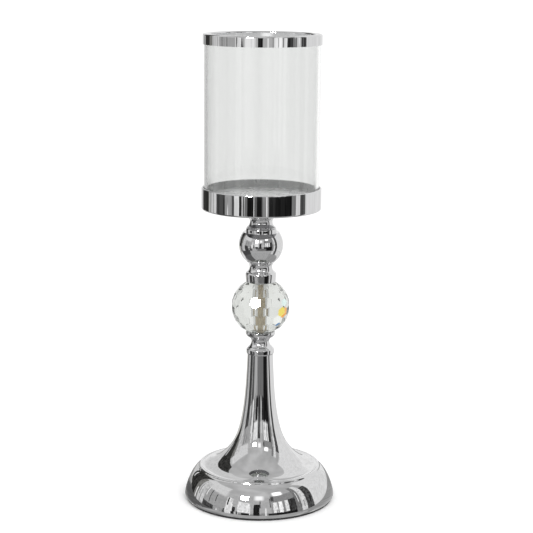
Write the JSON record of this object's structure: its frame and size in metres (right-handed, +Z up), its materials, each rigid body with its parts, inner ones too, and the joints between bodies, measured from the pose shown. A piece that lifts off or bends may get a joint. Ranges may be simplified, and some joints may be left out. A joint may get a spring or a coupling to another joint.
{
  "type": "pillar candle holder",
  "caption": "Tall footed stand with a domed base, a turned stem with a faceted crystal ball, a round tray and a lift-off glass cylinder that shields a pillar candle.",
  "frame": {"origin": "middle of the flat underside of the pad, on the surface that the stand rests on", "axes": "+Z up along the axis of the stem, the longest extent; the object is round about +Z, and +X and +Y are free choices"},
  "size_m": [0.136, 0.136, 0.42],
  "materials": {
    "chrome": "mirror-bright nickel chrome plating",
    "satin": "satin, brushed in circles",
    "clear_glass": "clear drawn glass tube with fire-polished edges",
    "crystal": "cut and polished crystal facets",
    "pad": "black felt",
    "plated_steel": "zinc plated",
    "spring_steel": "phosphated spring steel",
    "iron": "rough casting, black primer",
    "brass": "drawn tube",
    "nylon": "moulded, natural",
    "clear_vinyl": "clear soft sheet",
    "silicone": "translucent sealant"
  },
  "bodies": {
    "stand": {"felt_pad": "pad", "base_plate": "plated_steel", "ballast_ring": "iron", "base_shell": "chrome", "trumpet_stem": "chrome", "stem_bush": "nylon", "lower_spool": "chrome", "lower_gasket": "clear_vinyl", "crystal_ball": "crystal", "crystal_sleeve": "brass", "upper_gasket": "clear_vinyl", "collar_spool": "chrome", "chrome_ball": "chrome", "upper_spool": "chrome", "tray_cup": "chrome", "tray_pan": "satin", "clamp_plate": "plated_steel", "tie_rod": "plated_steel", "hex_nuts": "plated_steel", "flat_washers": "plated_steel", "spring_washer": "spring_steel"},
    "shade": {"glass_cylinder": "clear_glass", "rim_ring": "chrome", "rim_sealant": "silicone"}
  },
  "joints": [
    {"name": "shade_lift", "type": "slide", "parent": "stand", "child": "shade", "axis": [0, 0, 1], "range_m": [0, 0.15]}
  ]
}
